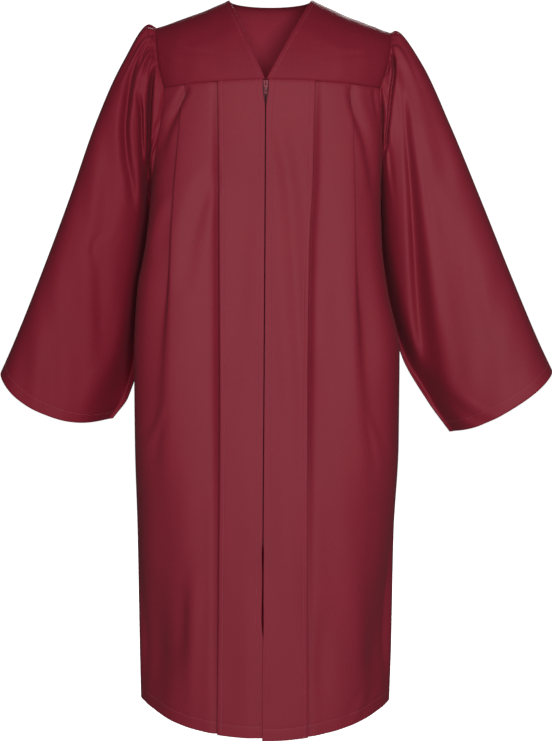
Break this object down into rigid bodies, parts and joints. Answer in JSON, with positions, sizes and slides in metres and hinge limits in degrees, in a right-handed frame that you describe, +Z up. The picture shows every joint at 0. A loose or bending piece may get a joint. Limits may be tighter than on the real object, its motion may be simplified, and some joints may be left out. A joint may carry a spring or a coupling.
{
  "type": "graduation gown",
  "caption": "Long hollow gown with yoked shoulders, a zipped and pleated front, a gathered back and open bell sleeves.",
  "frame": {"origin": "midway between the two neck points of the shoulder line, where the shoulders hold the gown up", "axes": "+Z up, front towards -Y, +X towards the sleeve that is on the right seen from the front"},
  "size_m": [0.9656, 0.3223, 1.2617],
  "materials": {
    "twill": "matte fine twill with a soft sheen",
    "zip_tape": "woven tape",
    "zip_metal": "satin"
  },
  "bodies": {
    "gown": {"yoke_front_left": "twill", "yoke_front_right": "twill", "yoke_back": "twill", "front_left": "twill", "front_right": "twill", "back_panel": "twill", "sleeve_left": "twill", "sleeve_right": "twill", "zip_tape_left": "zip_tape", "zip_tape_right": "zip_tape", "zip_slider": "zip_metal", "zip_bottom_stop": "zip_metal"},
    "zip_pull": {"zip_pull": "zip_metal"}
  },
  "joints": [
    {"name": "zip_pull_hinge", "type": "hinge", "parent": "gown", "child": "zip_pull", "pos_m": [-0.00761, -0.11586, -0.1503], "axis": [-1, 0, 0], "range_deg": [0, 160]}
  ]
}
